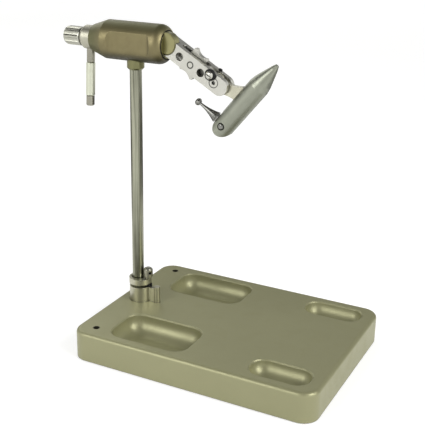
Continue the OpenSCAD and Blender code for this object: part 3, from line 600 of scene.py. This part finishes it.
# The housing's darker top, rear and underside are painted shade.
BRONZE = ShadedBandFinish(
    "bronze anodising", (0.2, 0.172, 0.086), (0.152, 0.13, 0.064), (0.36, 0.33, 0.2),
    roughness=0.44, spread=0.08, metallic=0.75, pitch=0.3 * MM, depth=0.06, streak=0.2, patch=9 * MM,
    soft_edge=0.5 * MM, edge_break=0.4,
    crown_shade=(0.135, 0.132, 0.062), belly_shade=(0.043, 0.039, 0.018), middle=ROTARY_AXIS.point[2], rear=-112 * MM,
)
OLIVE = Finish(
    "olive anodising", (0.29, 0.272, 0.136), (0.22, 0.21, 0.1), (0.46, 0.44, 0.27),
    roughness=0.34, pitch=0.3 * MM, depth=0.08, streak=0.3, patch=8 * MM,
)
DARK_OLIVE = Finish(
    "dark olive anodising", (0.2, 0.196, 0.098), (0.155, 0.15, 0.073), (0.38, 0.37, 0.22),
    roughness=0.34, pitch=0.3 * MM, depth=0.08, streak=0.3, patch=8 * MM,
)
# Streaks of a drawn finish, made strong and dark enough to stand as painted reflections round the post.
POST = Finish(
    "drawn post steel", (0.345, 0.349, 0.267), (0.105, 0.105, 0.075), (0.55, 0.54, 0.47),
    roughness=0.3, pitch=2.2 * MM, depth=0.02, streak=0.85, band=0.13, patch=12 * MM,
)
POLISHED = Finish(
    "polished steel", (0.48, 0.48, 0.41), (0.35, 0.345, 0.29), (0.70, 0.70, 0.64),
    roughness=0.32, pitch=0.35 * MM, depth=0.05, streak=0.6, patch=12 * MM, painted_shade_strength=0.1,
)
ROD = Finish(
    "crank rod steel", (0.37, 0.36, 0.295), (0.26, 0.25, 0.2), (0.6, 0.59, 0.53),
    roughness=0.2, pitch=0.35 * MM, depth=0.05, streak=0.6, patch=12 * MM,
)
COLLAR = replace(
    ROD, name="crank collar steel", colour=(0.46, 0.45, 0.365), shade=(0.36, 0.35, 0.28),
    roughness=0.44, painted_shade_strength=0.0,
)
LEVER = Finish(
    "lever steel", (0.24, 0.24, 0.22), (0.17, 0.17, 0.156), (0.45, 0.45, 0.42),
    roughness=0.26, pitch=0.35 * MM, depth=0.05, streak=0.5, patch=8 * MM, painted_shade_strength=0.1,
)
LEVER_PIN = replace(LEVER, name="lever pin steel", roughness=0.16)
CLAMP = Finish(
    "clamp steel", (0.52, 0.51, 0.4), (0.38, 0.37, 0.285), (0.7, 0.69, 0.58),
    roughness=0.36, pitch=0.3 * MM, depth=0.06, streak=0.5, patch=7 * MM, painted_shade_strength=0.08,
)
CLAMP_SCREW = replace(
    CLAMP, name="clamp screw steel", colour=(0.38, 0.375, 0.3), shade=(0.26, 0.255, 0.2), roughness=0.34,
    painted_shade_strength=0.95, painted_shade_reach=3 * MM,
)
NICKEL = Finish(
    "bright nickel", (0.55, 0.545, 0.495), (0.455, 0.447, 0.40), (0.85, 0.845, 0.80),
    roughness=0.31, pitch=0.3 * MM, depth=0.05, streak=0.3, patch=12 * MM, painted_shade_strength=0.9, painted_shade_reach=5 * MM,
)
JAW = Finish(
    "ground jaw steel", (0.30, 0.31, 0.255), (0.235, 0.245, 0.195), (0.5, 0.51, 0.44),
    roughness=0.41, spread=0.08, pitch=0.3 * MM, depth=0.08, streak=0.45, patch=12 * MM, soft_edge=0.35 * MM,
)
NECK = Finish(
    "polished neck steel", (0.51, 0.497, 0.39), (0.39, 0.374, 0.29), (0.8, 0.79, 0.7),
    roughness=0.2, pitch=0.3 * MM, depth=0.05, streak=0.3, patch=8 * MM,
)
SLEEVE = Finish(
    "pale sleeve", (0.65, 0.665, 0.54), (0.555, 0.57, 0.45), (0.88, 0.89, 0.8),
    roughness=0.3, pitch=0.3 * MM, depth=0.05, streak=0.4, patch=9 * MM,
)
BLACK_OXIDE = Finish(
    "black oxide", (0.03, 0.03, 0.03), (0.02, 0.02, 0.02), (0.12, 0.12, 0.11),
    roughness=0.38, pitch=0.2 * MM, depth=0.1, streak=0.3, patch=3 * MM, soft_edge=0.1 * MM,
)
BEARING = Finish(
    "bearing bronze", (0.62, 0.42, 0.2), (0.45, 0.3, 0.14), (0.75, 0.55, 0.3),
    roughness=0.34, pitch=0.3 * MM, depth=0.08, streak=0.4, patch=6 * MM,
)
RUBBER = Finish(
    "black rubber", (0.012, 0.012, 0.012), (0.02, 0.02, 0.019), (0.04, 0.04, 0.04),
    roughness=0.72, spread=0.12, metallic=0.0, specular=0.2, pitch=0.4 * MM, depth=0.3, streak=0.5,
    patch=9 * MM, soft_edge=0.2 * MM, painted_shade_strength=0.3,
)


class Wardrobe:
    """Makes each material once and hands it out again."""

    def __init__(self) -> None:
        """Start with no materials."""
        self.made: dict["Coat", bpy.types.Material] = {}

    def dress(self, piece: bpy.types.Object, coat: "Coat") -> None:
        """Give a piece its material.

        Args:
            piece: Object to dress.
            coat: What it wears.
        """
        if coat not in self.made:
            self.made[coat] = coat.finish.material(coat.grain, coat.axis, coat.seams)
        piece.data.materials.clear()
        piece.data.materials.append(self.made[coat])


@dataclass(frozen=True)
class Coat:
    """What one solid of the frame wears."""

    finish: Finish
    grain: Grain = Grain.TURNED
    axis: Axis = BASE_AXIS
    seams: tuple[Seam, ...] = ()


class MeshKit:
    """Shapes meshes from outlines and routes."""

    @staticmethod
    def sweep(name: str, route: Sequence[Vector], radius: float, sides: int = 12) -> bpy.types.Object:
        """Make a round wire along a route, with closed ends.

        Args:
            name: Name of the piece.
            route: Points that the wire follows.
            radius: Radius of the wire.
            sides: Faces round the wire.

        Returns:
            The wire.
        """
        mesh = bmesh.new()
        rings = []
        normal = None
        for index, point in enumerate(route):
            ahead = route[min(index + 1, len(route) - 1)]
            behind = route[max(index - 1, 0)]
            tangent = (ahead - behind).normalized()
            if normal is None:
                normal = tangent.orthogonal().normalized()
            normal = (normal - tangent * normal.dot(tangent)).normalized()
            side = tangent.cross(normal)
            turns = (2 * math.pi * step / sides for step in range(sides))
            spokes = (math.cos(turn) * normal + math.sin(turn) * side for turn in turns)
            rings.append([mesh.verts.new(point + radius * spoke) for spoke in spokes])
        for low, high in zip(rings, rings[1:]):
            for step in range(sides):
                after = (step + 1) % sides
                mesh.faces.new((low[step], low[after], high[after], high[step]))
        mesh.faces.new(rings[0][::-1])
        mesh.faces.new(rings[-1])
        return MeshKit.finish(name, mesh)

    @staticmethod
    def finish(name: str, mesh: bmesh.types.BMesh) -> bpy.types.Object:
        """Turn an edited mesh into a smooth-shaded object in the scene.

        Args:
            name: Name of the piece.
            mesh: The edited mesh, which is freed.

        Returns:
            The object.
        """
        bmesh.ops.recalc_face_normals(mesh, faces=mesh.faces)
        data = bpy.data.meshes.new(name)
        mesh.to_mesh(data)
        mesh.free()
        data.shade_smooth()
        piece = bpy.data.objects.new(name, data)
        bpy.context.scene.collection.objects.link(piece)
        return piece


@dataclass
class SubAssembly:
    """A group of pieces that are made and dressed together."""

    wardrobe: Wardrobe
    coats: dict[str, Coat] = field(default_factory=dict)

    def build(self) -> list[str]:
        """Dress the solids of this group and make its finer pieces.

        Returns:
            The names of the pieces.
        """
        for node, coat in self.coats.items():
            self.wardrobe.dress(frame["nodes"][node], coat)
        return list(self.coats) + [piece.name for piece in self.pieces()]

    def pieces(self) -> list[bpy.types.Object]:
        """Return the finer pieces of this group, none unless it has some."""
        return []

    def fit(self, piece: bpy.types.Object, coat: Coat, body: str, slot: str, *nodes: str) -> bpy.types.Object:
        """Dress a finer piece, set it on its body and put it in place of solids.

        Args:
            piece: The piece.
            coat: What it wears.
            body: Body that carries it.
            slot: Not used.
            *nodes: Solids that it stands for.

        Returns:
            The piece.
        """
        self.wardrobe.dress(piece, coat)
        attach(piece, body)
        if nodes:
            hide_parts(*nodes)
        return piece


@dataclass
class Pedestal(SubAssembly):
    """Base plate with its trays, and the clamp that holds the post."""

    spring_wire: float = 0.75 * MM
    spring_turns: float = 2.5
    steps: int = 90
    sockets: tuple[str, ...] = ("tool_socket_front", "tool_socket_back")
    socket_radius: float = 1.9 * MM
    socket_shade_width: float = 1.6 * MM

    def __post_init__(self) -> None:
        """Set what the solids wear."""
        # Painted shade rings that darken the two tool socket holes.
        painted_shade = tuple(Seam(Axis.of_mount(name), self.socket_radius, self.socket_shade_width) for name in self.sockets)
        self.coats = {
            "base_plate": Coat(CHAMPAGNE, Grain.BLASTED, seams=painted_shade),
            "foot_pad": Coat(RUBBER, Grain.MOULDED),
            "stem_socket": Coat(CLAMP, Grain.TURNED, POST_AXIS),
            "socket_bolt": Coat(BLACK_OXIDE, Grain.TURNED, POST_AXIS),
            "clamp_ring": Coat(CLAMP, Grain.TURNED, POST_AXIS),
            "clamp_spring": Coat(BLACK_OXIDE, Grain.TURNED, SCREW_AXIS),
            "clamp_screw": Coat(CLAMP_SCREW, Grain.TURNED, SCREW_AXIS),
            "post": Coat(POST, Grain.DRAWN, POST_AXIS),
        }

    def pieces(self) -> list[bpy.types.Object]:
        """Return the coil spring that holds the clamp ring up."""
        low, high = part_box("clamp_spring")
        centre = (low + high) / 2
        wire = self.spring_wire / 2
        radius = (high.x - low.x) / 2 - wire
        route = []
        for step in range(self.steps + 1):
            turn = 2 * math.pi * self.spring_turns * step / self.steps
            rise = low.z + wire + (high.z - low.z - 2 * wire) * step / self.steps
            across = centre.x + radius * math.cos(turn)
            deep = centre.y + radius * math.sin(turn)
            route.append(Vector((across, deep, rise)))
        coil = MeshKit.sweep("clamp_coil", route, wire)
        return [self.fit(coil, self.coats["clamp_spring"], "base", "black_screw", "clamp_spring")]


@dataclass
class BearingHead(SubAssembly):
    """Bronze housing with its collar, bushes and seal."""

    def __post_init__(self) -> None:
        """Set what the solids wear."""
        self.coats = {
            "head_housing": Coat(BRONZE, Grain.BLASTED, ROTARY_AXIS),
            "post_collar": Coat(DARK_OLIVE, Grain.TURNED, POST_AXIS),
            "collar_screw": Coat(BLACK_OXIDE, Grain.TURNED, POST_AXIS),
            "front_bush": Coat(BEARING, Grain.TURNED, ROTARY_AXIS),
            "rear_bush": Coat(BEARING, Grain.TURNED, ROTARY_AXIS),
            "front_seal": Coat(RUBBER, Grain.MOULDED),
            "bush_screw": Coat(BLACK_OXIDE, Grain.TURNED, ROTARY_AXIS),
        }


@dataclass
class Crank(SubAssembly):
    """Rotary shaft, hanging crank and drag knob."""

    def __post_init__(self) -> None:
        """Set what the solids wear."""
        self.coats = {
            "rotary_shaft": Coat(POLISHED, Grain.TURNED, ROTARY_AXIS),
            "front_hub": Coat(OLIVE, Grain.TURNED, ROTARY_AXIS),
            "crank_collar": Coat(COLLAR, Grain.TURNED, ROTARY_AXIS),
            "crank_set_screw": Coat(BLACK_OXIDE, Grain.TURNED, SLEEVE_AXIS),
            "drag_washer": Coat(POLISHED, Grain.TURNED, ROTARY_AXIS),
            "drag_knob": Coat(POLISHED, Grain.TURNED, ROTARY_AXIS),
            "crank_rod": Coat(ROD, Grain.DRAWN, SLEEVE_AXIS),
            "crank_sleeve": Coat(SLEEVE, Grain.DRAWN, SLEEVE_AXIS),
            "crank_tip": Coat(ROD, Grain.TURNED, SLEEVE_AXIS),
        }


@dataclass
class SlottedArm(SubAssembly):
    """Slotted arm with its wheel, clip post and pivot."""

    wheel_seam: Seam = Seam(WHEEL_AXIS, 2.3 * MM, 0.9 * MM)
    pivot_seam: Seam = Seam(TILT_AXIS, 3.5 * MM)

    def __post_init__(self) -> None:
        """Set what the solids wear."""
        self.coats = {
            "arm_bar": Coat(NICKEL, Grain.DRAWN, ARM_AXIS, (self.wheel_seam, self.pivot_seam)),
            "arm_bolt": Coat(BLACK_OXIDE, Grain.TURNED, WHEEL_AXIS),
            "wheel_pin": Coat(NICKEL, Grain.TURNED, WHEEL_AXIS, (self.wheel_seam,)),
            "thumb_wheel": Coat(NICKEL, Grain.TURNED, WHEEL_AXIS),
            "clip_post": Coat(NICKEL, Grain.TURNED, TILT_AXIS),
            "clip_ring": Coat(RUBBER, Grain.MOULDED),
            "pivot_screw": Coat(NICKEL, Grain.TURNED, TILT_AXIS, (self.pivot_seam,)),
            "pivot_nut": Coat(NICKEL, Grain.TURNED, TILT_AXIS),
            "pivot_lock_screw": Coat(BLACK_OXIDE, Grain.TURNED, ARM_AXIS),
        }


@dataclass
class JawSet(SubAssembly):
    """Jaws with their neck, screws, spring and cam lever."""

    pin_seam: Seam = Seam(LEVER_PIN_AXIS, 2.5 * MM, 0.9 * MM)

    def __post_init__(self) -> None:
        """Set what the solids wear."""
        self.coats = {
            "jaw_neck": Coat(NECK, Grain.DRAWN, JAW_AXIS),
            "near_jaw": Coat(JAW, Grain.DRAWN, JAW_AXIS, (self.pin_seam,)),
            "far_jaw": Coat(JAW, Grain.DRAWN, JAW_AXIS, (self.pin_seam,)),
            "fulcrum_screw": Coat(BLACK_OXIDE, Grain.TURNED, LEVER_PIN_AXIS),
            "jaw_spring": Coat(BLACK_OXIDE, Grain.TURNED, LEVER_PIN_AXIS),
            "lever_pin": Coat(LEVER_PIN, Grain.TURNED, LEVER_PIN_AXIS, (self.pin_seam,)),
            "cam_lever": Coat(LEVER, Grain.TURNED, LEVER_AXIS),
        }


@dataclass
class Lamp:
    """A soft square lamp aimed at the vise."""

    name: str
    turn: float
    rise: float
    distance: float
    side: float
    power: float

    def light(self, target: Vector) -> None:
        """Put the lamp up.

        Args:
            target: Point that it is aimed at.
        """
        turn, rise = math.radians(self.turn), math.radians(self.rise)
        away = Vector((math.sin(turn) * math.cos(rise), -math.cos(turn) * math.cos(rise), math.sin(rise)))
        data = bpy.data.lights.new(self.name, "AREA")
        data.shape = "SQUARE"
        data.size = self.side
        data.energy = self.power
        lamp = bpy.data.objects.new(self.name, data)
        lamp.location = target + away * self.distance
        lamp.rotation_euler = away.to_track_quat("Z", "Y").to_euler()
        bpy.context.scene.collection.objects.link(lamp)


@dataclass
class Flag:
    """A dark curved sheet beside the vise that only its polished metal mirrors: a painted dark reflection."""

    name: str
    turns: tuple[float, float]
    reach: float = 0.33
    low: float = 0.002
    height: float = 0.13
    slices: int = 48
    dark: Colour = (0.14, 0.14, 0.133)

    def hang(self, target: Vector) -> None:
        """Hang the flag on an arc round a point.

        Args:
            target: Point that the arc goes round.
        """
        mesh = bmesh.new()
        edges = []
        for step in range(self.slices + 1):
            turn = math.radians(self.turns[0] + (self.turns[1] - self.turns[0]) * step / self.slices)
            across = target.x + self.reach * math.sin(turn)
            deep = target.y - self.reach * math.cos(turn)
            edges.append([mesh.verts.new((across, deep, self.low + rise)) for rise in (0.0, self.height)])
        for first, second in zip(edges, edges[1:]):
            mesh.faces.new((first[0], second[0], second[1], first[1]))
        cloth = MeshKit.finish(self.name, mesh)
        material = bpy.data.materials.new(self.name)
        material.use_nodes = True
        sheet = NodeSheet(material.node_tree)
        sheet.tree.nodes.clear()
        clear = sheet.add("BsdfTransparent").outputs[0]
        dark = sheet.add("Emission", {"Color": (*self.dark, 1.0), "Strength": 1.0}).outputs[0]
        mirrored = sheet.add("LightPath").outputs["Is Glossy Ray"]
        shader = sheet.add("MixShader", {0: mirrored, 1: clear, 2: dark})
        sheet.add("OutputMaterial", {"Surface": shader.outputs[0]})
        cloth.data.materials.append(material)


@dataclass
class Studio:
    """Pale floor, soft world light, lamps and the photograph's camera."""

    floor_reach: float = 12.0
    floor_sides: int = 96
    floor_colour: Colour = (0.62, 0.62, 0.617)
    floor_cloud: float = 1.02
    floor_lift: tuple[float, float] = (0.5, 0.68)
    lamp_lit: tuple[float, float] = (0.35, 2.6)
    wall: Colour = (1.0, 1.0, 0.99)
    sky: Colour = (0.34, 0.34, 0.335)
    sky_fade: tuple[float, float] = (0.1, 0.8)
    ceiling: Colour = (0.1, 0.1, 0.098)
    ceiling_fade: tuple[float, float] = (0.28, 0.6)
    camera_place: Point = (0.2714, -0.5717, 0.3473)
    camera_turn: float = 26.802
    camera_tilt: float = 20.091
    camera_roll: float = -1.057
    lens: float = 74.27
    sensor: float = 36.0
    flags: tuple[Flag, ...] = (Flag("rear flag", (85.0, 275.0)),)
    lamps: tuple[Lamp, ...] = (
        Lamp("front lamp", -25.0, 28.0, 1.3, 0.7, 7.2),
        Lamp("side lamp", 82.0, 32.0, 1.4, 0.8, 13.5),
        Lamp("rear lamp", 238.0, 36.0, 1.5, 0.9, 3.5),
    )

    def build(self) -> None:
        """Set up the floor, the light and the camera."""
        self.lay_floor()
        self.fill_world()
        centre = (Vector(SOLID_BOX[0]) + Vector(SOLID_BOX[1])) / 2
        for lamp in self.lamps:
            lamp.light(centre)
        for flag in self.flags:
            flag.hang(centre)
        self.place_camera()
        bpy.context.scene.view_settings.view_transform = "Standard"

    def backdrop_mask(self, sheet: NodeSheet) -> bpy.types.NodeSocket:
        """Return 1 for rays of the camera and for mirrored and glassy ones."""
        path = sheet.add("LightPath")
        seen = sheet.maths("MAXIMUM", path.outputs["Is Camera Ray"], path.outputs["Is Transmission Ray"])
        return sheet.maths("MAXIMUM", seen, path.outputs["Is Glossy Ray"])

    def lay_floor(self) -> None:
        """Lay a wide pale floor that keeps the vise's shadow."""
        mesh = bmesh.new()
        bmesh.ops.create_circle(mesh, cap_ends=True, segments=self.floor_sides, radius=self.floor_reach)
        floor = MeshKit.finish("studio_floor", mesh)
        material = bpy.data.materials.new("pale floor")
        material.use_nodes = True
        sheet = NodeSheet(material.node_tree)
        shader = sheet.tree.nodes["Principled BSDF"]
        place = sheet.add("TexCoord").outputs["Object"]
        cloud = sheet.add("TexNoise", {"Vector": place, "Scale": 1.5}).outputs[0]
        lighter = tuple(value * self.floor_cloud for value in self.floor_colour)
        soft = sheet.mix(cloud, self.floor_colour, lighter)
        sheet.tree.links.new(soft, shader.inputs["Base Color"])
        shader.inputs["Roughness"].default_value = 0.9
        shader.inputs["Specular IOR Level"].default_value = 0.1
        shader.inputs["Emission Color"].default_value = (1.0, 1.0, 1.0, 1.0)
        reach = sheet.vector("LENGTH", place).outputs["Value"]
        unlit = sheet.ramp(reach, *self.lamp_lit, *self.floor_lift)
        lift = sheet.maths("MULTIPLY", self.backdrop_mask(sheet), unlit)
        sheet.tree.links.new(lift, shader.inputs["Emission Strength"])
        floor.data.materials.append(material)

    def fill_world(self) -> None:
        """Fill the room with level light that fades upwards, and faster where metal mirrors it."""
        world = bpy.data.worlds.new("studio")
        world.use_nodes = True
        bpy.context.scene.world = world
        sheet = NodeSheet(world.node_tree)
        sheet.tree.nodes.clear()
        direction = sheet.add("TexCoord").outputs["Generated"]
        height = sheet.add("SeparateXYZ", {0: direction}).outputs["Z"]
        room = sheet.mix(sheet.ramp(height, *self.sky_fade), self.wall, self.sky)
        mirrored = sheet.mix(sheet.ramp(height, *self.ceiling_fade), self.wall, self.ceiling)
        seen = sheet.mix(sheet.add("LightPath").outputs["Is Glossy Ray"], room, mirrored)
        background = sheet.add("Background", {"Color": seen, "Strength": 1.0})
        sheet.add("OutputWorld", {"Surface": background.outputs[0]})

    def place_camera(self) -> None:
        """Put the camera where the photograph was taken from."""
        angles = (self.camera_turn, self.camera_tilt, self.camera_roll)
        turn, tilt, roll = (math.radians(angle) for angle in angles)
        forward = Vector((-math.sin(turn) * math.cos(tilt), math.cos(turn) * math.cos(tilt), -math.sin(tilt)))
        right = forward.cross(Vector((0.0, 0.0, 1.0))).normalized()
        down = forward.cross(right)
        right, down = (
            math.cos(roll) * right + math.sin(roll) * down,
            math.cos(roll) * down - math.sin(roll) * right,
        )
        data = bpy.data.cameras.new("photograph view")
        data.lens = self.lens
        data.sensor_width = self.sensor
        data.clip_start = 10 * MM
        camera = bpy.data.objects.new("photograph view", data)
        camera.matrix_world = Matrix.LocRotScale(
            Vector(self.camera_place), Matrix((right, -down, -forward)).transposed(), None
        )
        bpy.context.scene.collection.objects.link(camera)
        bpy.context.scene.camera = camera


def main() -> None:
    """Build the studio and the vise, piece by piece."""
    logging.basicConfig(level=logging.INFO, format="%(name)s: %(message)s")
    Studio().build()
    wardrobe = Wardrobe()
    for kind in (Pedestal, BearingHead, Crank, SlottedArm, JawSet):
        for name in kind(wardrobe).build():
            log.info("%s: %s", kind.__name__, name)


if __name__ == "__main__":
    main()
